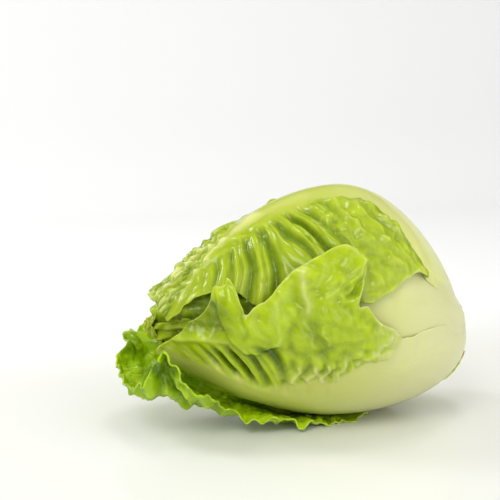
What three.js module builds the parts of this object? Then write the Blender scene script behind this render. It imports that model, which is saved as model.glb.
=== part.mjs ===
// Romaine heart lying on its side, in millimetres, +Z up, resting on z = 0.
// The cut butt points to +X and the leaf tips to -X; the side the head shows faces -Y.
// Every leaf is a closed, waved blade with a thick midrib. The leaves lie on nested layers of one
// swelling profile, so that they overlap without touching and all start round one short stem.
// Angles go round the head's axis: 0 faces -Y, 90 is up, 180 faces +Y and -90 is down.
import * as THREE from "three";

// The profile of the head: radius against the distance t from the cut butt
const HEAD_LENGTH = 148;
const BELLY_AT = 62;
const BELLY_RADIUS = 53;
const BUTT_RADIUS = 9.5;
const TIP_RADIUS = 12;
const BUTT_SWELL = 0.76;
const TIP_SWELL = 1.9;

// The axis arches: the butt and the tips hang lower than the belly
const AXIS_HEIGHT = 54;
const BUTT_DROP = 19;
const TIP_DROP = 6.3;

// Where the butt's end lies, so that the origin is the bottom centre of the head's box
const BUTT_X = 78.59;
const AXIS_Y = -2.89;

// Inner layers shrink about this distance from the butt, less towards the tips
const NEST_AT = 50;
const TIP_SHRINK = 0.5;

// How far aside of its midrib, in degrees, the middle leaf's fuller base tapers off
const FILL_FROM = 20;
const FILL_TO = 34;

// The floor leaf spreads away from the head past this distance
const FLARE_FROM = 104;
const FLARE_SLOPE = 0.4;

// The lowest that the outer faces reach: the floor leaf lies on z = 0, the others over it
const FLOOR = 0;
const OVER_FLOOR_LEAF = 1.5;

// Leaf tissue
const BLADE_THICK = 0.9;
const INNER_BLADE_THICK = 0.8;
const CORNER_ROUND = 10;

// The rings of leaves further in
const INNER_COUNT = 10;
const INNER_LAYER = 0.805;
const LAYER_STEP = 0.055;
const GOLDEN_ANGLE = 137.5;
const INNER_FIRST_ANGLE = -20;
const INNER_WIDTH = [[0, 9], [4, 15], [16, 23], [30, 32], [60, 54], [85, 62], [105, 54], [120, 42], [135, 28],
  [148, 10]];

// The stem, a cone inside the leaf bases, and the bud at the head's heart
const STEM_START = -1.5;
const STEM_END = 36;
const STEM_GAP = 0.7;
const STEM_SIDES = 20;
const BUD_LAYER = 0.24;
const BUD_START = 6;
const BUD_ROWS = 16;
const BUD_SIDES = 20;
const BUD_FOLDS = 5;

const radians = THREE.MathUtils.degToRad;
const smooth = (low, high, value) => THREE.MathUtils.smoothstep(value, low, high);

// Reads a list of [distance, value] pairs, eased between its points
function along(list, t) {
  if (t <= list[0][0]) {
    return list[0][1];
  }
  for (let i = 1; i < list.length; i += 1) {
    const [before, low] = list[i - 1];
    const [after, high] = list[i];
    if (t < after) {
      return THREE.MathUtils.lerp(low, high, smooth(before, after, t));
    }
  }
  return list[list.length - 1][1];
}

function profileRadius(t) {
  if (t < BELLY_AT) {
    const before = (BELLY_AT - t) / BELLY_AT;
    return BUTT_RADIUS + (BELLY_RADIUS - BUTT_RADIUS) * (1 - before * before) ** BUTT_SWELL;
  }
  const past = (t - BELLY_AT) / (HEAD_LENGTH - BELLY_AT);
  return TIP_RADIUS + (BELLY_RADIUS - TIP_RADIUS) * (1 - past ** TIP_SWELL);
}

function axisHeight(s) {
  if (s < BELLY_AT) {
    return AXIS_HEIGHT - BUTT_DROP * ((BELLY_AT - s) / BELLY_AT) ** 2;
  }
  return AXIS_HEIGHT - TIP_DROP * ((s - BELLY_AT) / (HEAD_LENGTH - BELLY_AT)) ** 1.5;
}

function axisDistance(t, layer) {
  const reach = t < NEST_AT ? layer : 1 - TIP_SHRINK * (1 - layer);
  return NEST_AT + (t - NEST_AT) * reach;
}

function shellRadius(leaf, t) {
  return profileRadius(t) * leaf.layer + leaf.flare * Math.max(0, t - FLARE_FROM);
}

// The middle leaf's base is fuller about its middle, where it shows between the leaves over it
function fuller(leaf, t, angle) {
  if (!leaf.fill) {
    return 0;
  }
  const aside = Math.abs(THREE.MathUtils.radToDeg(angle) - leaf.angle);
  return along(leaf.fill, t) * (1 - smooth(FILL_FROM, FILL_TO, aside));
}

function shellPoint(leaf, t, angle) {
  const s = axisDistance(t, leaf.layer);
  const radius = shellRadius(leaf, t) + fuller(leaf, t, angle);
  return new THREE.Vector3(
    BUTT_X - s,
    AXIS_Y - radius * Math.cos(angle),
    axisHeight(s) + radius * Math.sin(angle),
  );
}

// The shell's point, its direction round the head and its outward normal
function shellFrame(leaf, t, angle) {
  const point = shellPoint(leaf, t, angle);
  const round = new THREE.Vector3(0, Math.sin(angle), Math.cos(angle));
  const step = 0.05;
  const lengthwise = shellPoint(leaf, t + step, angle).sub(point).normalize();
  const normal = new THREE.Vector3().crossVectors(round, lengthwise).normalize();
  return { point, round, normal };
}

// How far the blade stands out of its layer: midrib, folds between the side veins, ruffled margin
function relief(leaf, t, b, across) {
  const side = b < 0 ? leaf.low : leaf.high;
  const rib = leaf.ribOut * Math.exp(-((across / leaf.ribHalf) ** 2)) * (1 - smooth(90, 150, t));
  let fold = 0;
  if (side.fold) {
    const { from, to, start, end, depth, pitch, slant } = side.fold;
    const inside = smooth(from, from + 8, t) * (1 - smooth(to - 8, to, t));
    const between = smooth(start, start + 8, across) * (1 - smooth(end - 8, end, across));
    const phase = (2 * Math.PI * (t - slant * across)) / pitch;
    fold = -depth * inside * between * (0.5 - 0.5 * Math.cos(phase));
  }
  const margin = smooth(0.6, 1, Math.abs(b)) * smooth(25, 70, t);
  const wave = 0.5 + 0.5 * Math.sin((2 * Math.PI * t) / side.rufflePitch + side.rufflePhase);
  const pressed = side.press ? along(side.press, t) * smooth(0.55, 1, Math.abs(b)) : 0;
  return rib + fold + along(side.ruffle, t) * margin * wave - pressed;
}

// Past its bend line a blade rolls away from the head or lies straight on
function bendAway(frame, side, sign, past, t) {
  const turn = radians(side.bend.turn);
  const rolled = side.bend.radius * turn;
  const arc = Math.min(past, rolled) / Math.max(side.bend.radius, 1e-6);
  const straight = past - Math.min(past, rolled);
  const along = side.bend.radius * Math.sin(arc) + straight * Math.cos(turn);
  const out = side.bend.radius * (1 - Math.cos(arc)) + straight * Math.sin(turn);
  const round = frame.round.clone().multiplyScalar(sign);
  const point = frame.point.clone().addScaledVector(round, along).addScaledVector(frame.normal, out);
  const lean = rolled > 0 ? arc : 0;
  const normal = frame.normal.clone().multiplyScalar(Math.cos(lean));
  normal.addScaledVector(round, -Math.sin(lean));
  return { point, round, normal };
}

// A point of the blade: a runs from base to tip, b from one margin over the midrib to the other
function bladeFrame(leaf, a, b) {
  const t = a * (leaf.length - CORNER_ROUND * Math.abs(b) ** 3);
  const side = b < 0 ? leaf.low : leaf.high;
  const sign = b < 0 ? -1 : 1;
  const across = Math.abs(b) * along(side.width, t);
  const radius = shellRadius(leaf, t);
  const middle = radians(leaf.angle);
  const onShell = shellFrame(leaf, t, middle + (sign * across) / radius);
  let frame = onShell;
  if (side.bend) {
    const line = along(side.bend.line, t);
    if (across > line) {
      const start = shellFrame(leaf, t, middle + (sign * line) / radius);
      const bent = bendAway(start, side, sign, across - line, t);
      const amount = along(side.bend.amount, t);
      const point = onShell.point.clone().lerp(bent.point, amount);
      const normal = onShell.normal.clone().lerp(bent.normal, amount).normalize();
      frame = { point, normal };
    }
  }
  const outer = frame.point.clone().addScaledVector(frame.normal, relief(leaf, t, b, across));
  outer.z = Math.max(outer.z, leaf.floor);
  const ribThick = leaf.ribThick * Math.exp(-((across / leaf.ribHalf) ** 2));
  const thick = leaf.blade + ribThick * (1 - 0.7 * a);
  const inner = outer.clone().addScaledVector(frame.normal, -thick);
  return { outer, inner };
}

function closedGeometry(points, triangles) {
  const geometry = new THREE.BufferGeometry();
  const positions = points.flatMap((point) => [point.x, point.y, point.z]);
  geometry.setAttribute("position", new THREE.Float32BufferAttribute(positions, 3));
  geometry.setIndex(triangles);
  geometry.computeVertexNormals();
  return geometry;
}

// Two faces of the same grid, split alike, and a rim of quads that joins them
function leafGeometry(leaf) {
  const columns = [];
  for (let j = -leaf.low.columns; j <= leaf.high.columns; j += 1) {
    columns.push(j < 0 ? j / leaf.low.columns : j / leaf.high.columns);
  }
  const wide = columns.length;
  const outers = [];
  const inners = [];
  for (let i = 0; i <= leaf.rows; i += 1) {
    for (const b of columns) {
      const { outer, inner } = bladeFrame(leaf, i / leaf.rows, b);
      outers.push(outer);
      inners.push(inner);
    }
  }
  const shift = outers.length;
  const triangles = [];
  for (let i = 0; i < leaf.rows; i += 1) {
    for (let j = 0; j < wide - 1; j += 1) {
      const here = i * wide + j;
      const next = here + wide;
      triangles.push(here, here + 1, next + 1, here, next + 1, next);
      triangles.push(here + shift, next + 1 + shift, here + 1 + shift);
      triangles.push(here + shift, next + shift, next + 1 + shift);
    }
  }
  const rim = [];
  for (let j = 0; j < wide - 1; j += 1) {
    rim.push(j);
  }
  for (let i = 0; i < leaf.rows; i += 1) {
    rim.push(i * wide + wide - 1);
  }
  for (let j = wide - 1; j > 0; j -= 1) {
    rim.push(leaf.rows * wide + j);
  }
  for (let i = leaf.rows; i > 0; i -= 1) {
    rim.push(i * wide);
  }
  rim.forEach((one, k) => {
    const two = rim[(k + 1) % rim.length];
    triangles.push(one, two + shift, two, one, one + shift, two + shift);
  });
  return closedGeometry([...outers, ...inners], triangles);
}

// A closed body of rings round the axis, with a point at each end
function ringedGeometry(rings, sides) {
  const points = rings.flat();
  const triangles = [];
  for (let i = 0; i < rings.length - 1; i += 1) {
    for (let j = 0; j < sides; j += 1) {
      const here = i * sides + j;
      const beside = i * sides + ((j + 1) % sides);
      triangles.push(here, beside, beside + sides, here, beside + sides, here + sides);
    }
  }
  const first = points.length;
  const middle = (ring) => ring.reduce((sum, one) => sum.add(one), new THREE.Vector3()).divideScalar(sides);
  points.push(middle(rings[0]), middle(rings[rings.length - 1]));
  const last = (rings.length - 1) * sides;
  for (let j = 0; j < sides; j += 1) {
    const beside = (j + 1) % sides;
    triangles.push(first, beside, j);
    triangles.push(first + 1, last + j, last + beside);
  }
  return closedGeometry(points, triangles);
}

function ring(s, radiusAt, sides) {
  const points = [];
  for (let j = 0; j < sides; j += 1) {
    const angle = (2 * Math.PI * j) / sides;
    const radius = radiusAt(angle);
    points.push(new THREE.Vector3(
      BUTT_X - s,
      AXIS_Y - radius * Math.cos(angle),
      axisHeight(s) + radius * Math.sin(angle),
    ));
  }
  return points;
}

// The short stem: a flat cut end, then a cone that the leaf bases sit round
function stemGeometry() {
  const rings = [];
  const steps = 8;
  for (let i = 0; i <= steps; i += 1) {
    const s = THREE.MathUtils.lerp(STEM_START, STEM_END, i / steps);
    const cone = BUTT_RADIUS * (1 - s / NEST_AT) - STEM_GAP;
    rings.push(ring(s, () => Math.min(cone, BUTT_RADIUS - 1), STEM_SIDES));
  }
  return ringedGeometry(rings, STEM_SIDES);
}

// The bud: the smallest leaves, still pressed together, wrap its core in spiral folds
function budGeometry() {
  const rings = [];
  for (let i = 0; i <= BUD_ROWS; i += 1) {
    const t = THREE.MathUtils.lerp(BUD_START, HEAD_LENGTH - 6, i / BUD_ROWS);
    const s = axisDistance(t, BUD_LAYER);
    const radius = profileRadius(t) * BUD_LAYER;
    const fold = (angle) => 0.5 + 0.5 * Math.cos(BUD_FOLDS * angle + t / 12);
    rings.push(ring(s, (angle) => radius * (1 - 0.16 * fold(angle)), BUD_SIDES));
  }
  return ringedGeometry(rings, BUD_SIDES);
}

const leafMaterial = new THREE.MeshStandardMaterial({ color: 0x9cbf33, roughness: 0.45, metalness: 0 });
const innerMaterial = new THREE.MeshStandardMaterial({ color: 0xc6d46a, roughness: 0.5, metalness: 0 });
const stemMaterial = new THREE.MeshStandardMaterial({ color: 0xdcdba8, roughness: 0.6, metalness: 0 });

// A margin with no ruffles of note, shared by the leaves that others cover
const calm = { ruffle: [[0, 0.6]], rufflePitch: 19, rufflePhase: 0 };

// The leaf on top: its midrib is the upper outline and its lower side hangs over the side shown
const topLeaf = {
  name: "leaf_top",
  angle: 88,
  layer: 0.945,
  flare: 0,
  floor: OVER_FLOOR_LEAF,
  length: 150,
  blade: BLADE_THICK,
  ribHalf: 13,
  ribThick: 2,
  ribOut: 1.6,
  rows: 40,
  low: {
    columns: 8,
    width: [[0, 12], [5, 22], [12, 32], [20, 42], [32, 51], [40, 53], [46, 56], [52, 62], [60, 67], [68, 70],
      [80, 68], [92, 64], [105, 56], [115, 45], [124, 31], [133, 21], [142, 17], [150, 9]],
    fold: { from: 62, to: 130, start: 12, end: 64, depth: 2.8, pitch: 11.1, slant: 0.1 },
    ruffle: [[0, 0]],
    rufflePitch: 17,
    rufflePhase: 1,
  },
  high: {
    columns: 6,
    width: [[0, 12], [4, 20], [16, 29], [30, 38], [60, 56], [90, 56], [110, 44], [125, 34], [140, 20], [148, 8]],
    ...calm,
    ruffle: [[0, 3]],
  },
};

// The lower leaf: its midrib is the lower outline, and its blade rises over the side shown.
// Towards the tip the blade's margin rolls outwards and hangs down as a flap.
const lowerLeaf = {
  name: "leaf_lower",
  angle: -58,
  layer: 1,
  flare: 0,
  floor: OVER_FLOOR_LEAF,
  length: 148,
  blade: BLADE_THICK,
  ribHalf: 14,
  ribThick: 2,
  ribOut: 0.4,
  rows: 40,
  low: {
    columns: 5,
    width: [[0, 12], [4, 20], [16, 28], [30, 36], [60, 52], [90, 52], [110, 42], [125, 32], [140, 18], [148, 7]],
    ...calm,
    ruffle: [[0, 0]],
  },
  high: {
    columns: 14,
    width: [[0, 12], [5, 24], [15, 33], [26, 40], [34, 42], [42, 39], [48, 38], [53, 43], [58, 52], [64, 58],
      [68, 66], [72, 78], [77, 83], [83, 77], [90, 68], [96, 66], [102, 82], [106, 82], [110, 75], [114, 67],
      [118, 57], [122, 53], [125, 46], [128, 43], [132, 33], [138, 24], [144, 14], [148, 8]],
    bend: {
      line: [[92, 68], [98, 66], [104, 60], [110, 49], [116, 42], [121, 44], [126, 56]],
      amount: [[94, 0], [100, 1], [117, 1], [123, 0]],
      turn: 190,
      radius: 2,
    },
    fold: { from: 88, to: 138, start: 8, end: 40, depth: 2.8, pitch: 11.1, slant: 0.8 },
    press: [[0, 0.4], [10, 1.4], [48, 1.4], [56, 0]],
    ruffle: [[0, 1.6]],
    rufflePitch: 15,
    rufflePhase: 2,
  },
};

// The middle leaf faces the side shown: only its pale base and its tip are open to view there
const middleLeaf = {
  name: "leaf_middle",
  angle: 6,
  layer: 0.86,
  flare: 0,
  floor: OVER_FLOOR_LEAF,
  length: 156,
  blade: BLADE_THICK,
  ribHalf: 13,
  ribThick: 2,
  ribOut: 0.8,
  rows: 20,
  low: {
    columns: 5,
    width: [[0, 12], [4, 20], [16, 27], [30, 34], [60, 50], [80, 56], [100, 52], [115, 44], [130, 30],
      [142, 18], [150, 13], [156, 7]],
    ...calm,
  },
};
middleLeaf.high = middleLeaf.low;

// The leaf at the back, seen from behind between the top leaf and the floor leaf
const backLeaf = { ...middleLeaf, name: "leaf_back", angle: 180, ribOut: 1.2 };
middleLeaf.fill = [[0, 5.8], [4, 4], [8, 3.3], [12, 3], [16, 2.9], [20, 2.9], [30, 2.2], [40, 1.9], [52, 1.7],
  [66, 0.8], [80, 0]];

// The leaf that the head lies on: it spreads on the floor and its ruffled end fans out past the tips
const floorLeaf = {
  name: "leaf_floor",
  angle: -125,
  layer: 1.045,
  flare: FLARE_SLOPE,
  floor: FLOOR,
  length: 158,
  blade: BLADE_THICK,
  ribHalf: 12,
  ribThick: 1,
  ribOut: 1,
  rows: 36,
  low: {
    columns: 6,
    width: [[0, 12], [4, 20], [16, 28], [30, 36], [60, 48], [90, 50], [108, 46], [120, 38], [135, 28],
      [150, 16], [158, 8]],
    ...calm,
    ruffle: [[0, 4], [110, 7]],
    rufflePitch: 16,
  },
  high: {
    columns: 10,
    width: [[0, 12], [4, 18], [16, 24], [30, 30], [46, 38], [60, 50], [75, 56], [90, 56], [104, 52], [114, 44],
      [124, 46], [133, 54], [142, 60], [150, 62], [158, 46]],
    bend: {
      line: [[0, 28]],
      amount: [[0, 0], [40, 0], [52, 1], [108, 1], [128, 0]],
      turn: 0,
      radius: 0,
    },
    ruffle: [[46, 0], [60, -6], [98, -6], [108, 0], [122, 6]],
    rufflePitch: 14,
    rufflePhase: 0,
  },
};

function innerLeaf(index) {
  const layer = INNER_LAYER - index * LAYER_STEP;
  const narrower = 0.3 + 0.7 * layer;
  const side = {
    columns: 4,
    width: INNER_WIDTH.map(([t, width]) => [t, width * narrower]),
    ruffle: [[0, 0.6]],
    rufflePitch: 22,
    rufflePhase: index,
  };
  return {
    name: `leaf_inner_${String(index + 1).padStart(2, "0")}`,
    angle: INNER_FIRST_ANGLE + index * GOLDEN_ANGLE,
    layer,
    flare: 0,
    floor: OVER_FLOOR_LEAF,
    length: index === 0 ? 150 : 148,
    blade: INNER_BLADE_THICK,
    ribHalf: 8,
    ribThick: 0.5,
    ribOut: 0,
    rows: 10,
    low: side,
    high: side,
  };
}

function addPiece(group, name, geometry, material) {
  const mesh = new THREE.Mesh(geometry, material);
  mesh.name = name;
  group.add(mesh);
}

function buildHead() {
  const group = new THREE.Group();
  addPiece(group, "stem", stemGeometry(), stemMaterial);
  addPiece(group, "bud", budGeometry(), innerMaterial);
  for (const leaf of [topLeaf, lowerLeaf, middleLeaf, backLeaf, floorLeaf]) {
    addPiece(group, leaf.name, leafGeometry(leaf), leafMaterial);
  }
  for (let index = 0; index < INNER_COUNT; index += 1) {
    const leaf = innerLeaf(index);
    addPiece(group, leaf.name, leafGeometry(leaf), innerMaterial);
  }
  return group;
}

export default buildHead();
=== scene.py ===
"""A romaine heart lying on its side: leaves with veins, folds and blisters, on a pale studio floor."""
import math

import bmesh
import bpy
import numpy as np
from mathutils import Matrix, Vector


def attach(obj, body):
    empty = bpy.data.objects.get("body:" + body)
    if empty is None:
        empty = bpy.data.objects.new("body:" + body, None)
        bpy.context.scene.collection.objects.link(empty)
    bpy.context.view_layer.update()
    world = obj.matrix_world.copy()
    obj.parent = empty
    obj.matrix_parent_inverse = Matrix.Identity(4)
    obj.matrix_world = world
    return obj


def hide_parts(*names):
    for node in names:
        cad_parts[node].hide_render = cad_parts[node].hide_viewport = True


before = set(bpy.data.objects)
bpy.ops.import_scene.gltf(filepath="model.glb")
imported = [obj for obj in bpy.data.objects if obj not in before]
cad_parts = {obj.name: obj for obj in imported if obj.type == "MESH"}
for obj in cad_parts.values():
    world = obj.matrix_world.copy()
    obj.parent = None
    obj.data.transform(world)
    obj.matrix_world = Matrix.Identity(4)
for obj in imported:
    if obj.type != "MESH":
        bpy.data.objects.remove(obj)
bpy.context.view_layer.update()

# The head's form, in millimetres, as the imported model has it
HEAD_LENGTH = 148.0
BELLY_AT = 62.0
BELLY_RADIUS = 53.0
BUTT_RADIUS = 9.5
TIP_RADIUS = 12.0
BUTT_SWELL = 0.76
TIP_SWELL = 1.9
AXIS_HEIGHT = 54.0
BUTT_DROP = 19.0
TIP_DROP = 6.3
BUTT_X = 78.59
AXIS_Y = -2.89
NEST_AT = 50.0
TIP_SHRINK = 0.5
FLARE_FROM = 104.0
FLARE_SLOPE = 0.4
FLOOR = 0.0
OVER_FLOOR_LEAF = 1.5
CORNER_ROUND = 10.0

# The inner leaves
INNER_COUNT = 10
INNER_LAYER = 0.805
LAYER_STEP = 0.055
GOLDEN_ANGLE = 137.5
INNER_FIRST_ANGLE = -20.0
INNER_WIDTH = [(0, 9), (4, 15), (16, 23), (30, 32), (60, 54), (85, 62), (105, 54), (120, 42), (135, 28),
               (148, 10)]

# How fine the leaves are: rows along, columns across, and the thickness of the blade
OUTER_ROWS = 290
OUTER_COLUMNS = 150
COVERED_ROWS = 190
COVERED_COLUMNS = 110
INNER_ROWS = 90
INNER_COLUMNS = 48
BLADE_THICK = 0.7
METRE = 0.001

# The leaves' small features: sizes in millimetres, and shares of what they are part of
NOTCH_SIZE = 5.0
SMALL_NOTCH_SIZE = 2.1
JAG_SIZE = 4.5
SMALL_JAG_SIZE = 1.9
LOBE_SIZE = 9.0
FOLD_RISE = 7.0
FOLD_FALL = 9.0
DEEP_FOLD = 2.2
SMALL_FOLD_PITCH = 0.41
SMALL_FOLD_DEPTH = 0.22
BLISTER_LENGTH = 10.5
BLISTER_WIDTH = 8.0
SMALL_BLISTER_LENGTH = 3.6
SMALL_BLISTER_WIDTH = 3.0
SMALL_BLISTER_HEIGHT = 0.16
WRINKLE_LENGTH = 2.6
WRINKLE_WIDTH = 9.0
WRINKLE_HEIGHT = 0.3
SWELL_LENGTH = 24.0
SWELL_WIDTH = 20.0
SMALL_SWELL_SIZE = 9.0
SMALL_RUFFLE_PITCH = 0.43
STRIP_PAST_EDGE = 2.6
STRIP_HALF = 1.6
# The painted highlight along the margin: where it starts and ends, as shares of the half width, and how pale
# it is
MARGIN_FROM = 0.975
MARGIN_TO = 0.995
MARGIN_HIGHLIGHT = 0.55
STRAND_HEIGHT = 0.045
STRANDS_PER_MM = 3.4
VEIN_HALF = 0.6
VEIN_PALE = 0.3
CREASE_SHADE = 0.28
BUMP_LENGTH = 5.2
BUMP_WIDTH = 2.7
BUMP_HEIGHT = 1.7
CREST_HALF = 1.4
CREST_HOLLOW = 2.4
LOBE_HEIGHT = 4.4


def ease(low, high, value):
    """0 below low, 1 above high, and a smooth step between."""
    share = np.clip((value - low) / (high - low), 0.0, 1.0)
    return share * share * (3.0 - 2.0 * share)


def along(points, t):
    """Reads a list of (distance, value) pairs on a smooth curve through them."""
    places, values = np.array(points, float).T
    if len(places) == 1:
        return np.full(np.shape(t), values[0], float)
    slopes = np.gradient(values, places)
    i = np.clip(np.searchsorted(places, t, side="right") - 1, 0, len(places) - 2)
    gap = places[i + 1] - places[i]
    x = np.clip((t - places[i]) / gap, 0.0, 1.0)
    start = (2 * x**3 - 3 * x**2 + 1) * values[i] + (x**3 - 2 * x**2 + x) * gap * slopes[i]
    end = (3 * x**2 - 2 * x**3) * values[i + 1] + (x**3 - x**2) * gap * slopes[i + 1]
    return start + end


def bell(distance, half):
    """1 on a line and close to 0 beyond twice half from it."""
    return np.exp(-((distance / half) ** 2))


def scatter(i, j, seed):
    """A repeatable number from 0 to 1 for each whole-numbered place."""
    wave = np.sin(i * 127.1 + j * 311.7 + seed * 74.7) * 43758.5453
    return wave - np.floor(wave)


def mottle(x, y, seed):
    """Smooth noise from -1 to 1."""
    i, j = np.floor(x), np.floor(y)
    u, v = ease(0, 1, x - i), ease(0, 1, y - j)
    near = scatter(i, j, seed) * (1 - u) + scatter(i + 1, j, seed) * u
    far = scatter(i, j + 1, seed) * (1 - u) + scatter(i + 1, j + 1, seed) * u
    return 2 * (near * (1 - v) + far * v) - 1


def patches(t, across, size, seed):
    """Smooth noise from -1 to 1 in patches of about size millimetres."""
    return mottle(t / size, across / size, seed)


def cells(x, y, seed):
    """An irregular net: the distance in from each cell's border, and a number from 0 to 1 for each cell."""
    nearest = np.full(np.shape(x), 9.0)
    second = nearest.copy()
    tone = np.zeros(np.shape(x))
    i, j = np.floor(x), np.floor(y)
    for di in (-1, 0, 1):
        for dj in (-1, 0, 1):
            ci, cj = i + di, j + dj
            dx = ci + 0.15 + 0.7 * scatter(ci, cj, seed) - x
            dy = cj + 0.15 + 0.7 * scatter(ci, cj, seed + 9) - y
            distance = np.hypot(dx, dy)
            closer = distance < nearest
            second = np.where(closer, nearest, np.minimum(second, distance))
            tone = np.where(closer, scatter(ci, cj, seed + 17), tone)
            nearest = np.where(closer, distance, nearest)
    return second - nearest, tone


def profile_radius(t):
    """The head's radius at a distance t from its butt."""
    before = np.clip((BELLY_AT - t) / BELLY_AT, 0.0, 1.0)
    swell = BUTT_RADIUS + (BELLY_RADIUS - BUTT_RADIUS) * (1 - before**2) ** BUTT_SWELL
    past = np.clip((t - BELLY_AT) / (HEAD_LENGTH - BELLY_AT), 0.0, 2.0)
    taper = TIP_RADIUS + (BELLY_RADIUS - TIP_RADIUS) * (1 - past**TIP_SWELL)
    return np.where(t < BELLY_AT, swell, taper)


def axis_height(s):
    """The height of the head's axis over the floor: it drops towards the butt and the tips."""
    butt = AXIS_HEIGHT - BUTT_DROP * (np.maximum(BELLY_AT - s, 0) / BELLY_AT) ** 2
    return butt - TIP_DROP * (np.maximum(s - BELLY_AT, 0) / (HEAD_LENGTH - BELLY_AT)) ** 1.5


def axis_distance(t, layer):
    """How far along the axis a leaf's place lies: the inner leaves end before the outer ones."""
    reach = np.where(t < NEST_AT, layer, 1 - TIP_SHRINK * (1 - layer))
    return NEST_AT + (t - NEST_AT) * reach


def shell_radius(leaf, t):
    """The radius of a leaf's layer, with its flare past the tips."""
    return profile_radius(t) * leaf["layer"] + leaf.get("flare", 0.0) * np.maximum(0.0, t - FLARE_FROM)


def shell_point(leaf, t, angle):
    """A point on a leaf's layer, at a distance from the butt and an angle round the axis."""
    s = axis_distance(t, leaf["layer"])
    radius = shell_radius(leaf, t)
    if "fill" in leaf:
        aside = np.abs(np.degrees(angle) - leaf["angle"])
        radius = radius + along(leaf["fill"], t) * (1 - ease(20, 34, aside))
    y = AXIS_Y - radius * np.cos(angle)
    z = axis_height(s) + radius * np.sin(angle)
    return np.stack([BUTT_X - s, y, z], -1)


def unit(vectors):
    """The vectors at a length of 1."""
    return vectors / np.linalg.norm(vectors, axis=-1, keepdims=True)


def shell_frame(leaf, t, angle):
    """The shell's point, its direction round the head and its outward normal."""
    point = shell_point(leaf, t, angle)
    around = np.stack([np.zeros_like(angle), np.sin(angle), np.cos(angle)], -1)
    lengthwise = unit(shell_point(leaf, t + 0.05, angle) - point)
    return point, around, unit(np.cross(around, lengthwise))


def lie_straight(start, sign, past):
    """Past its bend line the floor leaf lies straight on along the floor."""
    point, around, normal = start
    return point + around * (sign * past)[:, None], normal


def blade(leaf, t, b):
    """Points and outward normals of a leaf's smooth blade, and the distance across from its midrib."""
    sign = np.where(b < 0, -1.0, 1.0)
    width = np.where(b < 0, leaf_margin(leaf, leaf["low"], t), leaf_margin(leaf, leaf["high"], t))
    across = np.abs(b) * width
    side = leaf["high"]
    if "shear" in side:
        t = t - along(side["shear"], t) * np.maximum(across - side["shear_from"], 0) * (b > 0)
    radius = shell_radius(leaf, t)
    middle = math.radians(leaf["angle"])
    point, _, normal = shell_frame(leaf, t, middle + sign * across / radius)
    if "line" in side:
        line = along(side["line"], t)
        past = np.maximum(across - line, 0.0)
        bent, lean = lie_straight(shell_frame(leaf, t, middle + sign * line / radius), sign, past)
        amount = (along(side["amount"], t).clip(0, 1) * (past > 0) * (b > 0))[:, None]
        point = point * (1 - amount) + bent * amount
        normal = unit(normal * (1 - amount) + lean * amount)
    return point, normal, across


def leaf_margin(leaf, side, t):
    """The margin's distance from the midrib, with its small notches."""
    notch = mottle(t / NOTCH_SIZE, np.full_like(t, leaf["seed"]), 3)
    notch = notch + 0.5 * mottle(t / SMALL_NOTCH_SIZE, np.full_like(t, 4.0), 5)
    return along(side["width"], t) + side["notch"] * notch * ease(36, 50, t)


def pale_edge(side, t, across, seed):
    """How far a place is past the pale rib's ragged edge, and how green it is."""
    jag = patches(t, across, JAG_SIZE, seed + 2) + 0.5 * patches(t, across, SMALL_JAG_SIZE, seed + 3)
    lobes = along(side["lobes"], t) * patches(t, across, LOBE_SIZE, seed + 8)
    past = across - along(side["pale_to"], t) + side["jag"] * jag + lobes
    soft = along(side["soft"], t)
    return past, ease(-soft, soft, past)


def valleys(side, pitch, t, across, seed):
    """0 on the ridges between the side veins' folds and 1 in the bottom of each valley."""
    warp = 1.5 * mottle(t / 13, across / 17, seed) + 0.8 * mottle(t / 5, across / 9, seed + 1)
    phase = (t - along(side["slant"], t) * (across - 15) + warp) / pitch
    number = np.floor(phase)
    deep = 0.45 + 0.75 * scatter(number, np.full_like(number, 2.0), seed)
    centre = 0.5 + 0.18 * (scatter(number, np.full_like(number, 5.0), seed) - 0.5)
    off = np.abs(phase - number - centre) * 2
    return deep * (1 - ease(0.0, 0.75, off)), 1 - ease(0.0, 0.35, 1 - off.clip(0, 1))


def side_folds(side, t, across, seed):
    """The folds between the side veins: how deep they are, how pleated the blade is, and their crests."""
    valley, crest = valleys(side, side["pitch"], t, across, seed)
    small, _ = valleys(side, SMALL_FOLD_PITCH * side["pitch"], t, across, seed + 15)
    fold_start = side["fold_start"]
    fold_end = along(side["fold_end"], t)
    reach = ease(fold_start, fold_start + FOLD_RISE, across)
    reach = reach * (1 - ease(fold_end - FOLD_FALL, fold_end, across))
    depth = along(side["fold_depth"], t)
    fold = depth * reach * (valley + SMALL_FOLD_DEPTH * small * (1 - valley.clip(0, 1)))
    return fold, np.clip(depth / DEEP_FOLD, 0, 1) * reach, crest


def blisters(t, across, seed):
    """Domes in the net of veins: their height, each place's distance from the net, and each dome's tone."""
    warped_t = t / BLISTER_LENGTH + 0.45 * patches(t, across, 9, seed + 4)
    warped_across = across / BLISTER_WIDTH + 0.3 * patches(t, across, 7, seed + 7)
    inset, tone = cells(warped_t, warped_across, seed + 11)
    small_t = t / SMALL_BLISTER_LENGTH + 0.4 * patches(t, across, 4, seed + 6)
    small, small_tone = cells(small_t, across / SMALL_BLISTER_WIDTH, seed + 23)
    wrinkle = mottle(t / WRINKLE_LENGTH, across / WRINKLE_WIDTH + 0.2 * t, seed + 61)
    wrinkle = wrinkle * (0.5 + 0.5 * patches(t, across, 16, seed + 62))
    height = ease(0.0, 0.8, inset) * (0.1 + 0.9 * tone**1.5)
    height = height + SMALL_BLISTER_HEIGHT * ease(0, 0.8, small) * small_tone + WRINKLE_HEIGHT * wrinkle
    return height, inset, tone


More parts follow.
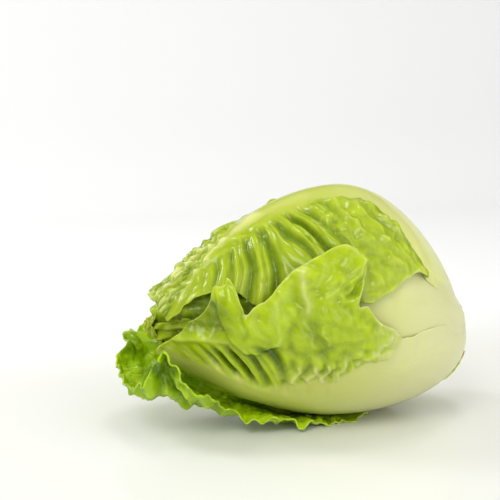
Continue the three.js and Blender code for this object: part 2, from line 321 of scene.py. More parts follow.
def ruffles(side, t, b, across, seed):
    """The waves of the blade's outer half."""
    pitch = side["ruffle_pitch"]
    wave = np.sin(2 * np.pi * t / pitch + 2.5 * mottle(t / 19, across / 40, seed + 5))
    wave = wave + 0.5 * np.sin(2 * np.pi * t / (SMALL_RUFFLE_PITCH * pitch) + 3 * b)
    wave = wave * (0.75 + 0.7 * mottle(t / 14, across / 60, seed + 6))
    return ease(0.5, 1.0, np.abs(b)) * along(side["ruffle"], t) * (0.55 + 0.42 * wave)


def side_look(leaf, side, t, b, across, seed):
    """Relief and colour masks of one side of a leaf."""
    from_pale, green = pale_edge(side, t, across, seed)
    fold, pleated, crest = side_folds(side, t, across, seed)
    blister, inset, tone = blisters(t, across, seed)
    dome = ease(0.0, 0.8, inset)
    plump = side["blister"] * green * (1 - 0.8 * pleated)
    swell = mottle(t / SWELL_LENGTH, across / SWELL_WIDTH, seed + 31)
    swell = swell + 0.5 * patches(t, across, SMALL_SWELL_SIZE, seed + 32)
    pressed = along(side["press"], t) * ease(0.55, 1.0, np.abs(b))
    crumple = 1.7 * mottle(t / 7, across / 6, seed + 84) + 0.8 * mottle(t / 3, across / 2.6, seed + 85)
    crumple = crumple * along(side["crumple"], t)
    relief = along(side["step"], t) * green + plump * blister + leaf["swell"] * green * swell
    relief = relief + ruffles(side, t, b, across, seed) + crumple - fold - pressed

    # Painted shade: the shade mask darkens the folds' valleys, the net of creases between blisters, the
    # crumples' hollows, a strip just past the pale rib's edge, and the covered leaves' tips that lie in the
    # dark gap under the outer leaves; the bright mask is lowered where this shade lies
    gloom = along(side["gloom"], t) * (0.75 + 0.25 * patches(t, across, 5, seed + 81))
    strip = along(side["strip"], t) * bell(from_pale - STRIP_PAST_EDGE, STRIP_HALF)
    hollow = 0.2 * (1 - dome) * plump.clip(0, 1) + 0.22 * np.clip(-crumple, 0, 3)
    shade = np.clip(fold / 2.3 + hollow + strip + gloom, 0, 1)

    net = (1 - ease(0.0, 0.12, inset)) * plump.clip(0, 1) * (0.5 + 0.5 * patches(t, across, 13, seed + 41))
    blotch = ease(0.1, 0.5, patches(t, across, 4.5, seed + 71)) * (1 - ease(0, 12, from_pale))
    stub = ease(0.45, 0.95, crest) * (1 - ease(0, side["stub"], from_pale)) * ease(60, 76, t)
    # A painted highlight: a thin pale line along the margin
    margin = MARGIN_HIGHLIGHT * ease(MARGIN_FROM, MARGIN_TO, np.abs(b)) * ease(34, 44, t)
    faded = ease(0.68, 0.97, np.abs(b)) * (0.8 + 0.6 * patches(t, across, 5, 98))
    veined = 0.8 * stub + 0.3 * net + along(side["blotches"], t) * blotch
    veined = veined + margin + along(side["faded"], t) * faded
    pale = np.clip((1 - green) + green * veined, 0, 1)
    bright = np.clip(0.2 + 0.55 * tone * dome + 0.25 * ease(0.8, 1.0, np.abs(b)) - 0.3 * shade, 0, 1)
    return relief, pale, shade, bright


def from_line(t, signed, start, end):
    """Distance from a short line between two places on the leaf, bent a little by noise."""
    along_t, along_across = end[0] - start[0], end[1] - start[1]
    share = ((t - start[0]) * along_t + (signed - start[1]) * along_across) / (along_t**2 + along_across**2)
    share = share.clip(0, 1)
    bend = 1.1 * np.sin(share * math.pi * 2) + 0.6 * mottle(share * 6, np.full_like(share, start[0]), 2)
    return np.hypot(t - start[0] - share * along_t - bend, signed - start[1] - share * along_across)


def add_midrib(leaf, look, t, across):
    """The midrib's rounded back, and the fine strands of the pale tissue beside it."""
    half = leaf["rib"] * (1 - 0.75 * np.clip(t / HEAD_LENGTH, 0, 1) ** 1.3)
    strands = np.sin(across * STRANDS_PER_MM + 1.2 * mottle(t / 30, across / 3, 7))
    strands = STRAND_HEIGHT * strands * (1 - ease(30, 46, across))
    back = leaf["rib_out"] * bell(across, half) * (1 - ease(90, 150, t))
    look["relief"] = look["relief"] + back + strands * look["pale"]


def add_lines(leaf, look, t, signed):
    """The leaf's own veins and creases: start, end, height, half width and, for some, a pale glow."""
    for start, end, height, half, *glow in leaf.get("lines", ()):
        near = from_line(t, signed, start, end)
        line = bell(near, half)
        look["relief"] = look["relief"] + height * line
        if height > 0:
            look["pale"] = np.clip(look["pale"] + VEIN_PALE * bell(near, VEIN_HALF), 0, 1)
        # Creases, the lines with a height below 0, are darkened with painted shade
        else:
            look["shade"] = np.clip(look["shade"] - CREASE_SHADE * height * line, 0, 1)
        if glow:
            look["pale"] = np.clip(look["pale"] + glow[0] * line, 0, 1)
            look["rise"] = look["rise"] - 1.2 * glow[0] * line


def add_crumpled_tip(leaf, look, t, across, signed):
    """Long bumps on the tip, beyond a line on one side of its midrib, with painted highlights on their tops
    and painted shade in the hollows.
    """
    beyond = ease(1, 4.5, along(leaf["crumpled"], t) + signed) * ease(108, 120, t)
    inset, tone = cells(t / BUMP_LENGTH, signed / BUMP_WIDTH, 91)
    bump = BUMP_HEIGHT * ease(0, 0.8, inset) * (0.3 + tone) + 0.6 * patches(t, across, 2, 92)
    # Painted highlight: the tops of some bumps are painted pale; the hollows between bumps get painted shade
    painted_glint = beyond * ease(0.3, 0.7, tone) * ease(0.08, 0.45, inset)
    hollow = (1 - tone) * (1 - 0.5 * ease(0, 0.5, inset))
    look["relief"] = look["relief"] + beyond * bump
    look["pale"] = np.clip(look["pale"] * (1 - 0.6 * beyond) + 0.5 * painted_glint, 0, 1)
    look["rise"] = look["rise"] - painted_glint
    look["shade"] = np.clip(look["shade"] + 0.9 * beyond * hollow, 0, 1)


def add_turned_margin(leaf, look, t, b, across):
    """The crest near the tip with a hollow behind it, and the margin's raised lobe, with painted shade in the
    hollow and a painted shadow under the lobe.
    """
    from_crest = across - along(leaf["crest"], t)
    far = ease(118, 126, t) * (1 - ease(142, 146, t)) * (b > 0)
    hollow = far * ease(1, 7, from_crest) * (1 - ease(10, 22, from_crest))
    inside = across - along(leaf["overhang"], t) + 0.8 * mottle(t / 3, across / 30, 93)
    height = along(leaf["overhang_height"], t) * (b > 0)
    hung = ease(-0.8, 0.8, inside) * (1 - ease(126, 128.5, t + 0.12 * (across - 36)))
    curl = 1 + 0.12 * bell(inside - 1.6, 1.2) - 0.35 * ease(7, 24, inside)
    painted_lobe_shadow = ease(-4, -0.6, inside) * (1 - ease(-0.6, 0.2, inside)) * height / LOBE_HEIGHT
    look["relief"] = look["relief"] + far * bell(from_crest, CREST_HALF) - CREST_HOLLOW * hollow
    look["relief"] = look["relief"] + height * hung * curl
    # Painted shade in the hollow behind the crest, and a painted shadow on the blade just below the raised
    # lobe's edge
    look["shade"] = np.clip(look["shade"] + 0.6 * hollow + 0.6 * painted_lobe_shadow, 0, 1)
    look["pale"] = np.clip(look["pale"] + 0.4 * far * bell(from_crest, 1.1), 0, 1)


def leaf_look(leaf, t, b, across):
    """How far the blade stands out of its layer, and its pale, shade, bright, rise and brown masks."""
    low = side_look(leaf, leaf["low"], t, b, across, leaf["seed"])
    high = side_look(leaf, leaf["high"], t, b, across, leaf["seed"] + 40)
    names = ("relief", "pale", "shade", "bright")
    look = {name: np.where(b < 0, one, other) for name, one, other in zip(names, low, high)}
    look["rise"] = ease(25, 100, t)
    signed = across * np.where(b < 0, -1, 1)
    add_midrib(leaf, look, t, across)
    add_lines(leaf, look, t, signed)
    if "crumpled" in leaf:
        add_crumpled_tip(leaf, look, t, across, signed)
    if "crest" in leaf:
        add_turned_margin(leaf, look, t, b, across)
    look["rise"] = look["rise"].clip(0, 1)
    cut = 0.5 * (1 - ease(0.3, 2.2, t - leaf.get("start", 0.0)))
    tip = leaf.get("brown_tip", 0.0) * ease(leaf["length"] - 5, leaf["length"] - 1, t)
    look["brown"] = np.clip(cut + tip, 0, 1)
    return look.pop("relief"), look


def attribute(mesh, name, values):
    """Stores a value at each of the mesh's points, for its material to read."""
    layer = mesh.attributes.new(name, "FLOAT", "POINT")
    layer.data.foreach_set("value", values.astype(np.float32))


def grid_mesh(name, rows, columns):
    """A flat grid: its x runs from -1 to 1 across and its y from 0 to 1 along."""
    bm = bmesh.new()
    bmesh.ops.create_grid(bm, x_segments=columns, y_segments=rows, size=1.0)
    mesh = bpy.data.meshes.new(name)
    bm.to_mesh(mesh)
    bm.free()
    places = np.empty(len(mesh.vertices) * 3)
    mesh.vertices.foreach_get("co", places)
    places = places.reshape(-1, 3)
    return mesh, places[:, 0], (places[:, 1] + 1) / 2


def leaf_piece(leaf, rows, columns, material):
    """A leaf in place of its CAD node: a grid laid on its layer, raised in relief, then thickened."""
    mesh, b, a = grid_mesh(leaf["name"], rows, columns)
    split = leaf.get("split", 0.5)
    b = np.where(b < 2 * split - 1, (b + 1) / (2 * split) - 1, (b - 2 * split + 1) / (2 - 2 * split))
    start = leaf.get("start", 0.0)
    t = start + a * (leaf["length"] - start - leaf.get("corner", CORNER_ROUND) * np.abs(b) ** 3)
    point, normal, across = blade(leaf, t, b)
    relief, masks = leaf_look(leaf, t, b, across)
    place = point + normal * relief[:, None]
    place[:, 2] = np.maximum(place[:, 2], leaf["floor"])
    mesh.vertices.foreach_set("co", (place * METRE).ravel())
    for mask, values in masks.items():
        attribute(mesh, mask, values)
    mesh.polygons.foreach_set("use_smooth", np.ones(len(mesh.polygons), bool))
    mesh.materials.append(material)
    mesh.update()
    piece = bpy.data.objects.new(leaf["name"] + "_fine", mesh)
    bpy.context.collection.objects.link(piece)
    wall = piece.modifiers.new("wall", "SOLIDIFY")
    wall.thickness = BLADE_THICK * METRE
    wall.offset = -1.0
    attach(piece, "root")
    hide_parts(leaf["name"])
    return piece


def paint(red, green, blue):
    """A colour as a screen shows it, 0 to 255, made linear for a shader."""
    shown = [channel / 255 for channel in (red, green, blue)]
    linear = [c / 12.92 if c < 0.0405 else ((c + 0.055) / 1.055) ** 2.4 for c in shown]
    return (*linear, 1.0)


def mix(nodes, links, fac, first, second):
    """A colour mix node: fac, first and second are sockets or plain values."""
    node = nodes.new("ShaderNodeMix")
    node.data_type = "RGBA"
    for socket, value in ((node.inputs[0], fac), (node.inputs[6], first), (node.inputs[7], second)):
        if isinstance(value, bpy.types.NodeSocket):
            links.new(value, socket)
        else:
            socket.default_value = value
    return node.outputs[2]


# The tissue's finest features: scales for textures in metres, and amounts
PATCH_SCALE = 55.0
GRAIN_SCALE = 900.0
GRAIN_STRENGTH = 0.12
GRAIN_DEPTH = 0.0004
VEIN_NET_SCALE = 230.0
VEIN_NET_HALF = 0.09
VEIN_NET_PALE = 0.13
VEIN_WARP = 0.012
BLADE_ROUGHNESS = 0.34
INNER_ROUGHNESS = 0.38
STEM_ROUGHNESS = 0.5


def noise(nodes, links, where, scale, detail):
    """A soft noise node on the object's own coordinates."""
    node = nodes.new("ShaderNodeTexNoise")
    node.inputs["Scale"].default_value = scale
    node.inputs["Detail"].default_value = detail
    links.new(where, node.inputs["Vector"])
    return node


def map_range(nodes, links, value, ranges):
    """A node that maps a value from one range to another."""
    node = nodes.new("ShaderNodeMapRange")
    for name, number in ranges.items():
        node.inputs[name].default_value = number
    links.new(value, node.inputs["Value"])
    return node


def smallest_veins(nodes, links, where, patches_node):
    """A net of hair-thin veins: how pale each place is for it."""
    veins = nodes.new("ShaderNodeTexVoronoi")
    veins.feature = "DISTANCE_TO_EDGE"
    veins.inputs["Scale"].default_value = VEIN_NET_SCALE
    warped = nodes.new("ShaderNodeVectorMath")
    warped.operation = "MULTIPLY_ADD"
    links.new(patches_node.outputs["Color"], warped.inputs[0])
    warped.inputs[1].default_value = (VEIN_WARP, VEIN_WARP, VEIN_WARP)
    links.new(where, warped.inputs[2])
    links.new(warped.outputs["Vector"], veins.inputs["Vector"])
    ranges = {"From Min": 0.0, "From Max": VEIN_NET_HALF, "To Min": VEIN_NET_PALE, "To Max": 0.0}
    return map_range(nodes, links, veins.outputs["Distance"], ranges).outputs["Result"]


BROWNED = paint(168, 118, 58)
TISSUE = {
    "IOR": 1.42, "Subsurface Weight": 0.45, "Subsurface Radius": (0.8, 1.0, 0.25), "Subsurface Scale": 0.002,
    "Specular IOR Level": 0.25, "Coat Weight": 0.4, "Coat Roughness": 0.08,
}


def leaf_material(name, base, rib, blade_colour, deep, fresh, roughness):
    """Leaf tissue: colour from the leaf's masks (painted shade among them) and soft mottling, a fine grain,
    and light in its depth.
    """
    material = bpy.data.materials.new(name)
    material.use_nodes = True
    nodes, links = material.node_tree.nodes, material.node_tree.links
    shader = nodes["Principled BSDF"]
    where = nodes.new("ShaderNodeTexCoord").outputs["Object"]
    masks = {}
    for mask in ("pale", "shade", "bright", "rise", "brown"):
        node = nodes.new("ShaderNodeAttribute")
        node.attribute_name = mask
        masks[mask] = node.outputs["Fac"]
    soft_patches = noise(nodes, links, where, PATCH_SCALE, 3.0)
    grain = noise(nodes, links, where, GRAIN_SCALE, 4.0)
    colour = mix(nodes, links, soft_patches.outputs["Fac"], blade_colour, fresh)
    colour = mix(nodes, links, masks["bright"], colour, fresh)
    # Painted shade: the shade mask mixes in the deep colour
    colour = mix(nodes, links, masks["shade"], colour, deep)
    pale = mix(nodes, links, masks["rise"], base, rib)
    colour = mix(nodes, links, masks["pale"], colour, pale)
    colour = mix(nodes, links, smallest_veins(nodes, links, where, soft_patches), colour, pale)
    colour = mix(nodes, links, masks["brown"], colour, BROWNED)
    links.new(colour, shader.inputs["Base Color"])
    bump = nodes.new("ShaderNodeBump")
    bump.inputs["Strength"].default_value = GRAIN_STRENGTH
    bump.inputs["Distance"].default_value = GRAIN_DEPTH
    links.new(grain.outputs["Fac"], bump.inputs["Height"])
    links.new(bump.outputs["Normal"], shader.inputs["Normal"])
    shader.inputs["Roughness"].default_value = roughness
    for setting, value in TISSUE.items():
        shader.inputs[setting].default_value = value
    return material


# Each tissue's colours: the pale base, the rib higher up, the blade, the painted shade in its folds and
# hollows, its fresh patches
TOP = leaf_material("top leaf tissue", paint(208, 212, 134), paint(168, 181, 56), paint(142, 166, 14),
                    paint(94, 120, 2), paint(172, 189, 42), BLADE_ROUGHNESS)
OUTER = leaf_material("outer leaf tissue", paint(205, 206, 151), paint(188, 197, 92), paint(148, 175, 2),
                      paint(82, 108, 1), paint(174, 194, 14), BLADE_ROUGHNESS)
FLOOR_LEAF = leaf_material("floor leaf tissue", paint(200, 208, 110), paint(166, 196, 40),
                           paint(146, 182, 4), paint(84, 118, 1), paint(176, 204, 14), BLADE_ROUGHNESS)
INNER = leaf_material("inner leaf tissue", paint(214, 216, 150), paint(160, 184, 44), paint(150, 178, 22),
                      paint(84, 112, 4), paint(178, 198, 44), INNER_ROUGHNESS)
STEM = leaf_material("stem tissue", paint(214, 208, 150), paint(214, 208, 150), paint(214, 206, 150),
                     paint(190, 170, 110), paint(220, 214, 160), STEM_ROUGHNESS)

# One side of a leaf, unless the leaf says otherwise. Each list has (millimetres along the leaf, value) pairs,
# where the value is a distance from the midrib, a height or an amount from 0 to 1:
#   pale_to is where the pale rib ends, with jag, lobes and soft for its edge, and stub for the veins past it
#   slant, pitch and the fold values are the folds between the side veins
#   ruffle, notch, press and faded are the margin's waves, notches, lie against the next leaf, and paleness
#   blister, crumple and step are relief of the green blade; strip and gloom are painted shade; blotches are
#   paleness
CALM = {
    "slant": [(0, 0.35)], "pitch": 8.0, "fold_depth": [(50, 0), (80, 1.0), (130, 1.0), (148, 0.4)],
    "fold_start": 9, "fold_end": [(0, 60)],
    "ruffle": [(30, 0), (70, 1.2), (148, 1.6)], "ruffle_pitch": 19.0,
    "pale_to": [(0, 60), (34, 50), (46, 34), (60, 24), (90, 14), (120, 8), (148, 3)], "jag": 1.6,
    "soft": [(0, 2.5)], "notch": 0.6, "blister": 0.6, "step": [(0, 0)], "stub": 9,
    "lobes": [(0, 1.0)], "strip": [(0, 0)], "blotches": [(0, 0.2)], "press": [(0, 0)],
    "gloom": [(0, 0)], "crumple": [(0, 0)], "faded": [(0, 0)],
}

# Each leaf: where its midrib lies round the head, in degrees; its layer, as a share of the head's radius; its
# length; the midrib's half width and height; and its sides, low before the midrib as the angle grows and high
# after it
TOP_LEAF = {
    "name": "leaf_top", "angle": 88, "layer": 0.945, "floor": OVER_FLOOR_LEAF, "length": 150, "seed": 3,
    "rib": 13, "rib_out": 1.6, "swell": 0.9, "corner": 3,
    "crumpled": [(110, 1), (119, 6), (133, 11), (148, 17)],
    "lines": [
        ((82, -5), (106, -4), 0.2, 4.6, 0.3), ((104, -3), (119, -6), 0.8, 2.6, 0.55),
        ((119, -6), (133, -11), 1.4, 1.3, 0.8), ((133, -11), (150, -18), 1.4, 0.8, 0.8),
        ((122, -7), (127, 0), 0.8, 0.6, 0.8), ((128, -9), (134, -2), 0.8, 0.6, 0.8),
        ((136, -12), (142, -5), 0.8, 0.6, 0.8), ((140, -15), (146, -8), 0.8, 0.6, 0.8),
        ((112, 4), (132, 3), 0.4, 0.8), ((130, -4), (142, 0), 0.5, 0.7), ((138, -7), (149, -5), 0.5, 0.7),
        ((64, -22), (56, -44), 0.8, 2.0), ((72, -20), (66, -44), 0.8, 1.8),
        ((54, -30), (47, -44), 0.6, 1.8), ((76, -30), (74, -50), -1.2, 1.6),
        ((60, -26), (54, -40), -0.9, 1.8), ((68, -46), (60, -56), -0.8, 2.0),
        ((56, -50), (50, -56), 0.8, 1.8), ((61, -23), (56, -25), 1.5, 2.6),
        ((79, -17), (73, -18), 1.2, 2.6), ((52, -31), (50, -35), 1.0, 2.0),
        ((44, -54), (14, -33), 0.7, 1.1), ((89, -32), (80, -50), -0.9, 0.7),
        ((84, -27), (70, -42), -0.9, 0.7), ((68, -28), (66, -38), -0.7, 0.6),
        ((58, -28), (50, -42), -0.9, 0.8), ((50, -42), (42, -52), -0.9, 0.8),
        ((51, -36), (44, -47), -0.8, 0.7), ((60, -40), (52, -48), 0.6, 1.6),
        ((72, -34), (62, -44), 0.6, 1.4),
    ],
    "low": {
        **CALM,
        "width": [(0, 12), (5, 22), (12, 32), (20, 42), (32, 51), (40, 53), (46, 56), (52, 62), (60, 67),
                  (68, 70), (80, 68), (92, 64), (105, 56), (115, 45), (124, 31), (133, 22), (142, 18),
                  (150, 13)],
        "slant": [(84, -0.35), (95, -0.25), (105, 0), (112, 0.15), (122, 0.3)], "pitch": 6.8,
        "fold_depth": [(70, 0), (84, 2.2), (96, 3.0), (120, 3.0), (128, 1.2), (134, 0)],
        "fold_start": 11, "fold_end": [(0, 95)],
        "ruffle": [(20, 0.3), (50, 0.5), (60, 0), (112, 0), (125, 1.0)], "ruffle_pitch": 15.0,
        "stub": 4, "jag": 1.8, "blister": 1.5, "notch": 1.3, "strip": [(58, 0.45), (70, 0)],
        "soft": [(40, 0.7), (56, 0.8), (70, 3), (90, 5), (148, 3)],
        "pale_to": [(0, 60), (36, 54), (39, 47), (44, 42), (50, 32), (54, 24), (58, 20), (68, 17), (77, 15),
                    (90, 14), (105, 10), (122, 5), (148, 2)],
        "step": [(0, 1.4), (60, 1.4), (80, 0.3), (90, 0)],
    },
    "high": {
        **CALM,
        "width": [(0, 12), (4, 20), (16, 29), (30, 38), (60, 56), (90, 56), (110, 44), (125, 34), (140, 20),
                  (148, 8)],
        "ruffle": [(25, 0), (70, 3.0)], "blister": 2.6,
        "pale_to": [(0, 60), (60, 24), (90, 12), (110, 5), (150, 2)],
    },
}

LOWER_LEAF = {
    "name": "leaf_lower", "angle": -58, "layer": 1.0, "floor": OVER_FLOOR_LEAF, "length": 148, "seed": 8,
    "rib": 15, "rib_out": 0.5, "swell": 0.9, "split": 0.36,
    "crest": [(118, 30), (122, 26), (132, 20), (140, 14), (146, 10)],
    "overhang": [(100, 36), (102, 34), (106, 32), (110, 28.5), (114, 26), (120, 26), (123, 28.5),
                 (126, 34), (128, 39)],
    "overhang_height": [(99, 0), (103, 1.2), (108, 3.4), (114, 4.8), (130, 4.8)],
    "lines": [
        ((98, 70), (94.5, 52), 0.9, 1.4, 0.4), ((96, 52), (92, 38), 0.8, 1.6),
        ((84, 74), (88, 60), 0.9, 1.3), ((80, 80), (83, 68), 0.8, 1.2), ((90, 76), (86, 70), -0.9, 1.3),
        ((96, 64), (90, 60), -0.8, 1.2), ((83, 60), (77, 56), -0.9, 1.2), ((88, 54), (82, 56), 0.9, 1.3),
        ((78, 70), (80, 62), -1.3, 1.4), ((86, 66), (80, 64), -1.3, 1.2), ((92, 46), (88, 36), -1.6, 3.2),
        ((100, 44), (99, 24), -1.2, 1.6), ((84, 52), (74, 50), 0.9, 2.2), ((78, 44), (68, 46), 0.9, 2.4),
        ((72, 54), (66, 50), -1.1, 2.0), ((64, 50), (60, 44), 0.9, 2.0), ((84, 38), (76, 36), -0.9, 2.0),
        ((99, 60), (97, 50), -0.8, 2.2), ((88, 46), (86, 40), 1.2, 1.6),
        ((117.4, 41), (117, 32), -0.9, 1.2), ((113, 42), (108, 32), -0.6, 1.6),
        ((104, 56), (106, 34), 0.5, 1.6),
        ((97, 17), (95.5, 26), 0.9, 1.0, 0.4), ((91, 19), (89.5, 28), 0.9, 1.0, 0.4),
        ((85, 21), (84, 30), 0.9, 1.0, 0.4), ((79, 24), (78, 33), 0.9, 1.0, 0.4),
        ((94, 20), (92, 28), -1.2, 1.0), ((88, 22), (86.5, 30), -1.2, 1.0), ((82, 24), (81, 32), -1.2, 1.0),
        ((72, 33), (66, 38), 0.8, 1.2, 0.3), ((64, 38), (58, 44), 0.8, 1.4, 0.3),
        ((76, 30), (70, 38), -1.0, 1.1),
    ],
    "low": {
        **CALM,
        "width": [(0, 12), (4, 20), (16, 28), (30, 36), (60, 52), (90, 52), (110, 42), (125, 32), (140, 18),
                  (148, 7)],
        "ruffle": [(0, 0), (1, 0)],
    },
    "high": {
        **CALM,
        "width": [(0, 12), (5, 24), (15, 33), (26, 40), (34, 42), (42, 42), (48, 42), (53, 44), (58, 48),
                  (62, 50.5), (66, 54), (70, 59), (75, 60), (77, 67), (79, 73), (81, 76), (84, 79),
                  (88, 81.5), (92.5, 83), (96, 77), (100, 68), (103, 61), (106, 55), (110, 49), (114, 45),
                  (116, 41.5), (117.2, 41), (118.2, 44), (119.4, 49), (121, 52), (123, 48), (125.5, 46),
                  (127.5, 45), (129, 40), (132, 33), (138, 24), (144, 14), (148, 8)],
        "shear": [(60, 0), (72, 0.5), (96, 0.5), (106, 0)], "shear_from": 58,
        "slant": [(95, 0.3), (105, 0.5), (115, 1.0), (130, 1.3)], "pitch": 8.6,
        "fold_depth": [(74, 0), (88, 0.6), (98, 1.4), (106, 3.0), (130, 3.0), (136, 1.2), (142, 0)],
        "fold_start": 6, "fold_end": [(88, 40), (110, 36), (122, 26), (132, 20), (140, 14)],
        "ruffle": [(20, 0.3), (50, 1.2)], "ruffle_pitch": 15.0,
        "stub": 8, "jag": 2.4, "notch": 1.0, "blister": 1.3,
        "faded": [(50, 0.8), (62, 0.7), (68, 0)], "lobes": [(50, 3.4), (80, 2.5), (90, 1)],
        "blotches": [(66, 0.7), (90, 0.4)], "soft": [(40, 0.8), (60, 1.2), (80, 3), (148, 3)],
        "press": [(0, 0.2), (10, 1.8), (30, 2.6), (40, 3.0), (56, 3.4), (64, 2.6), (70, 0)],
        "pale_to": [(0, 60), (47, 60), (51, 44), (54, 40), (58, 36), (70, 32), (76, 27), (86, 22), (95, 18),
                    (102, 11), (114, 8), (130, 8), (148, 3)],
        "step": [(0, 0.9), (90, 0.9), (110, 0)],
    },
}

MIDDLE_LEAF = {
    "name": "leaf_middle", "angle": 6, "layer": 0.86, "floor": OVER_FLOOR_LEAF, "length": 156, "seed": 13,
    "rib": 15, "rib_out": 0.8, "swell": 0.3, "start": -7.0,
    "fill": [(-7, 2.2), (0, 11.5), (4, 8.4), (8, 7.2), (12, 6.2), (16, 5.5), (20, 4.9), (30, 3.9), (40, 3.4),
             (52, 3.0), (66, 1.5), (80, 0)],
    "low": {
        **CALM,
        "width": [(0, 12), (4, 20), (16, 27), (30, 34), (60, 50), (80, 56), (100, 52), (115, 44), (130, 30),
                  (142, 18), (150, 14), (159, 9)],
        "ruffle": [(30, 0), (130, 0.6), (150, 2.5)], "ruffle_pitch": 9.0, "notch": 1.5,
        "pale_to": [(0, 60), (34, 50), (46, 34), (60, 24), (90, 14), (116, 0), (148, -4)], "blister": 1.2,
        "gloom": [(96, 0), (114, 1.0), (138, 1.0), (149, 0.1)], "crumple": [(110, 0), (134, 1), (144, 2)],
    },
}
MIDDLE_LEAF["high"] = MIDDLE_LEAF["low"]

BACK_LEAF = {
    **MIDDLE_LEAF,
    "name": "leaf_back", "angle": 180, "rib_out": 1.2, "seed": 21, "brown_tip": 0.12, "corner": 1,
    "length": 159,
}
BACK_LEAF.pop("fill")

FLOOR_LEAF_FORM = {
    "name": "leaf_floor", "angle": -125, "layer": 1.045, "flare": FLARE_SLOPE, "floor": FLOOR,
    "length": 158, "seed": 34, "rib": 12, "rib_out": 1.0, "swell": 1.3, "split": 0.45,
    "low": {
        **CALM,
        "width": [(0, 12), (4, 20), (16, 28), (30, 36), (60, 48), (90, 50), (108, 46), (120, 38), (135, 28),
                  (150, 16), (158, 8)],
        "fold_depth": [(0, 0), (1, 0)], "ruffle": [(0, 0), (30, 4), (110, 7)], "ruffle_pitch": 16.0,
        "notch": 2.0, "blister": 2.0, "crumple": [(104, 0), (120, 1.2), (158, 2.2)],
    },
    "high": {
        **CALM,
        "width": [(0, 12), (4, 18), (16, 24), (30, 30), (46, 38), (60, 50), (75, 56), (90, 56), (104, 52),
                  (114, 47), (122, 49), (133, 52), (142, 55), (150, 56), (158, 42)],
        "line": [(0, 28), (162, 28)],
        "amount": [(0, 0), (40, 0), (52, 1), (106, 1), (124, 0)],
        "ruffle": [(46, 0), (60, -4), (98, -4.5), (106, 0), (114, 1.0), (128, 1.6), (140, 5)],
        "ruffle_pitch": 9.0, "notch": 3.2, "blister": 3.2, "blotches": [(0, 0)],
        "crumple": [(50, 0.6), (104, 0.6), (114, 1.2), (128, 1.4), (138, 2.4), (158, 2.6)],
        "slant": [(0, 0.7)], "pitch": 9.0,
        "fold_depth": [(108, 0), (124, 1.1), (158, 1.0)], "fold_start": 4, "stub": 40,
        "pale_to": [(0, 60), (34, 50), (46, 30), (60, 18), (90, 8), (116, 2), (148, 0)],
    },
}


def inner_leaf(index):
    """The inner leaf with that number, counted inwards: each is a layer deeper and turned further."""
    layer = INNER_LAYER - index * LAYER_STEP
    narrower = 0.3 + 0.7 * layer
    side = {
        **CALM,
        "width": [(t, width * narrower) for t, width in INNER_WIDTH],
        "fold_depth": [(0, 0), (1, 0)], "ruffle": [(0, 0.6), (1, 0.6)], "ruffle_pitch": 22.0,
        "blister": 0.3,
    }
    return {
        "name": f"leaf_inner_{index + 1:02d}",
        "angle": INNER_FIRST_ANGLE + index * GOLDEN_ANGLE,
        "layer": layer, "floor": OVER_FLOOR_LEAF, "length": 150 if index == 0 else 148,
        "seed": 50 + index, "rib": 9, "rib_out": 0.0, "swell": 0.1, "low": side, "high": side,
    }


leaf_piece(TOP_LEAF, OUTER_ROWS, OUTER_COLUMNS, TOP)
leaf_piece(LOWER_LEAF, OUTER_ROWS, OUTER_COLUMNS, OUTER)
leaf_piece(MIDDLE_LEAF, COVERED_ROWS, COVERED_COLUMNS, OUTER)
leaf_piece(BACK_LEAF, COVERED_ROWS, COVERED_COLUMNS, OUTER)
leaf_piece(FLOOR_LEAF_FORM, OUTER_ROWS, OUTER_COLUMNS, FLOOR_LEAF)
for number in range(INNER_COUNT):
    leaf_piece(inner_leaf(number), INNER_ROWS, INNER_COLUMNS, INNER)

for node, material in (("stem", STEM), ("bud", INNER)):
    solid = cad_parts[node]
    solid.data.materials.clear()
    solid.data.materials.append(material)

# The floor and the backdrop, one pale sweep
SWEEP_HALF = 3.0
SWEEP_FLOOR_TO = 0.75
SWEEP_RADIUS = 0.5
SWEEP_STEPS = 24
# Painted shade on the floor: it is darker in front and pales between these depths, in metres, to whiter
# behind the head
PALER_FROM = 0.08
PALER_TO = 0.24
SHADED_NEAR_FLOOR = paint(225, 225, 218)
FAR_FLOOR = paint(239, 239, 238)


def tabletop_material():
    """A pale, satin tabletop with painted shade: darker in front, it grows whiter behind the head."""
    material = bpy.data.materials.new("pale tabletop")
    material.use_nodes = True
    nodes, links = material.node_tree.nodes, material.node_tree.links
    shader = nodes["Principled BSDF"]
    split = nodes.new("ShaderNodeSeparateXYZ")
    links.new(nodes.new("ShaderNodeTexCoord").outputs["Object"], split.inputs[0])
    behind = map_range(nodes, links, split.outputs["Y"], {"From Min": PALER_FROM, "From Max": PALER_TO})
    behind.interpolation_type = "SMOOTHSTEP"
    colour = mix(nodes, links, behind.outputs["Result"], SHADED_NEAR_FLOOR, FAR_FLOOR)
    links.new(colour, shader.inputs["Base Color"])
    shader.inputs["Roughness"].default_value = 0.32
    shader.inputs["Specular IOR Level"].default_value = 0.35
    return material


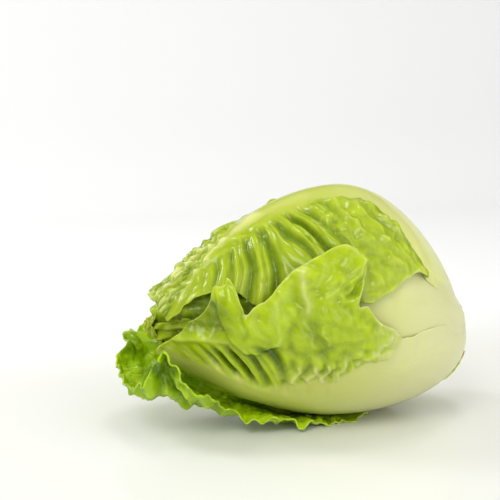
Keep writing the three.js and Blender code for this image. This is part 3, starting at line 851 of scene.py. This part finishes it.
def studio_sweep():
    """A strip of floor that bends up into a wall far behind the head."""
    bm = bmesh.new()
    near = [bm.verts.new((x, -SWEEP_HALF, 0.0)) for x in (-SWEEP_HALF, SWEEP_HALF)]
    edge = bm.edges.new(near)
    moved = bmesh.ops.extrude_edge_only(bm, edges=[edge])["geom"]
    verts = [v for v in moved if isinstance(v, bmesh.types.BMVert)]
    bmesh.ops.translate(bm, verts=verts, vec=(0, SWEEP_HALF + SWEEP_FLOOR_TO, 0))
    far = [e for e in moved if isinstance(e, bmesh.types.BMEdge)]
    centre = (0, SWEEP_FLOOR_TO, SWEEP_RADIUS)
    bmesh.ops.spin(bm, geom=far, cent=centre, axis=(1, 0, 0), angle=math.pi / 2, steps=SWEEP_STEPS)
    bmesh.ops.recalc_face_normals(bm, faces=bm.faces[:])
    mesh = bpy.data.meshes.new("sweep")
    bm.to_mesh(mesh)
    bm.free()
    mesh.polygons.foreach_set("use_smooth", np.ones(len(mesh.polygons), bool))
    sweep = bpy.data.objects.new("sweep", mesh)
    bpy.context.collection.objects.link(sweep)
    mesh.materials.append(tabletop_material())


studio_sweep()

# Soft studio light: each lamp's name, place, size and power
LIGHTS = (
    ("key", (-0.7, -0.75, 0.95), 0.6, 6.6),
    ("fill", (0.9, -0.9, 0.7), 1.2, 4.6),
    ("front", (0.1, -1.5, 0.15), 1.0, 6.6),
    ("top", (0.25, 0.15, 1.25), 0.3, 2.2),
    ("rim", (-0.75, 0.6, 0.75), 0.35, 4.0),
)
HEAD_CENTRE = Vector((0.0, 0.0, 0.05))
SKY_STRENGTH = 0.8


def area_light(name, place, size, power):
    """A square lamp that points at the head."""
    light = bpy.data.lights.new(name, "AREA")
    light.shape = "SQUARE"
    light.size = size
    light.energy = power
    lamp = bpy.data.objects.new(name, light)
    lamp.location = place
    lamp.rotation_mode = "QUATERNION"
    lamp.rotation_quaternion = (HEAD_CENTRE - Vector(place)).to_track_quat("-Z", "Y")
    bpy.context.collection.objects.link(lamp)


for light_values in LIGHTS:
    area_light(*light_values)

world = bpy.data.worlds.new("studio")
world.use_nodes = True
sky = world.node_tree.nodes["Background"].inputs
sky["Color"].default_value = (1, 1, 1, 1)
sky["Strength"].default_value = SKY_STRENGTH
bpy.context.scene.world = world
world.cycles_visibility.glossy = False
bpy.context.scene.view_settings.view_transform = "Standard"

# The camera looks at the side shown from a little above, turned towards the leaf tips
CAMERA_YAW = -20.0
CAMERA_RISE = 8.0
CAMERA_DISTANCE = 0.618
CAMERA_LENS = 100.0
CAMERA_TARGET = Vector((-0.0234, -0.0006, 0.0772))


def studio_camera():
    """The photograph's camera."""
    data = bpy.data.cameras.new("camera")
    data.lens = CAMERA_LENS
    camera = bpy.data.objects.new("camera", data)
    yaw, rise = math.radians(CAMERA_YAW), math.radians(CAMERA_RISE)
    back = Vector((math.sin(yaw) * math.cos(rise), -math.cos(yaw) * math.cos(rise), math.sin(rise)))
    camera.location = CAMERA_TARGET + back * CAMERA_DISTANCE
    camera.rotation_mode = "QUATERNION"
    camera.rotation_quaternion = (-back).to_track_quat("-Z", "Y")
    bpy.context.collection.objects.link(camera)
    bpy.context.scene.camera = camera


studio_camera()
